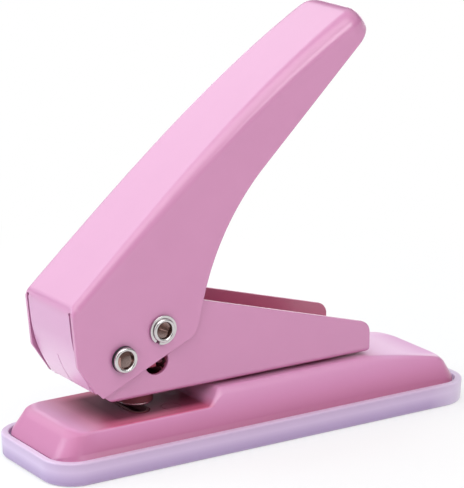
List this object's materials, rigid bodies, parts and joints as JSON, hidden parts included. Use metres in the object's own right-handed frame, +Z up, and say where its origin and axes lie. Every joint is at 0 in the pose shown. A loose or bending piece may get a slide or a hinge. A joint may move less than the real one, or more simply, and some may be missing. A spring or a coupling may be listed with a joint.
{
  "type": "id card slot punch",
  "caption": "desk punch with a long folded handle on a tapered bracket, pressed base and clip-on chip tray, cutting a rounded slot in cards",
  "frame": {"origin": "middle of the tray's underside, where the punch stands on the desk", "axes": "+Z up, +Y toward the handle side along the base, -Y the card side, +X the right-hand side"},
  "size_m": [0.0344, 0.12, 0.1023],
  "materials": {
    "tray_plastic": "translucent satin",
    "pink_paint": "gloss",
    "pin_chrome": "polished",
    "tool_steel": "ground",
    "spring_steel": "oiled",
    "dark_steel": "blackened",
    "black_plastic": "satin"
  },
  "bodies": {
    "frame": {"base_shell": "pink_paint", "die_plate": "tool_steel", "die_rivet_right": "pink_paint", "die_rivet_left": "pink_paint", "bracket": "pink_paint", "bracket_rivet_front": "pin_chrome", "bracket_rivet_rear": "pin_chrome", "punch_guide": "dark_steel", "spring_seat": "tool_steel", "punch_spring": "spring_steel", "pivot_pin": "pin_chrome", "pivot_spacer": "dark_steel", "pivot_washer_right": "black_plastic", "pivot_washer_left": "black_plastic"},
    "handle": {"lever": "pink_paint", "drive_pin": "pin_chrome", "drive_clip_right": "pin_chrome", "drive_clip_left": "pin_chrome"},
    "punch": {"punch_block": "dark_steel", "punch_blade": "tool_steel", "blade_pin_right": "tool_steel", "blade_pin_left": "tool_steel"},
    "tray": {"chip_tray": "tray_plastic"}
  },
  "joints": [
    {"name": "lever_pivot", "type": "hinge", "parent": "frame", "child": "handle", "pos_m": [0, -0.0393, 0.02705], "axis": [-1, 0, 0], "range_deg": [0, 20], "stiffness_Nm_per_rad": 0.19, "springref_deg": -20.05},
    {"name": "punch_slide", "type": "slide", "parent": "frame", "child": "punch", "axis": [0, 0, -1], "range_m": [0, 0.00396], "deforming": ["punch_spring"]},
    {"name": "tray_release", "type": "slide", "parent": "frame", "child": "tray", "axis": [0, 0, -1], "range_m": [0, 0.012]}
  ],
  "couplings": [
    {"joint": "punch_slide", "follows": "lever_pivot", "m_per_rad": 0.011319}
  ]
}
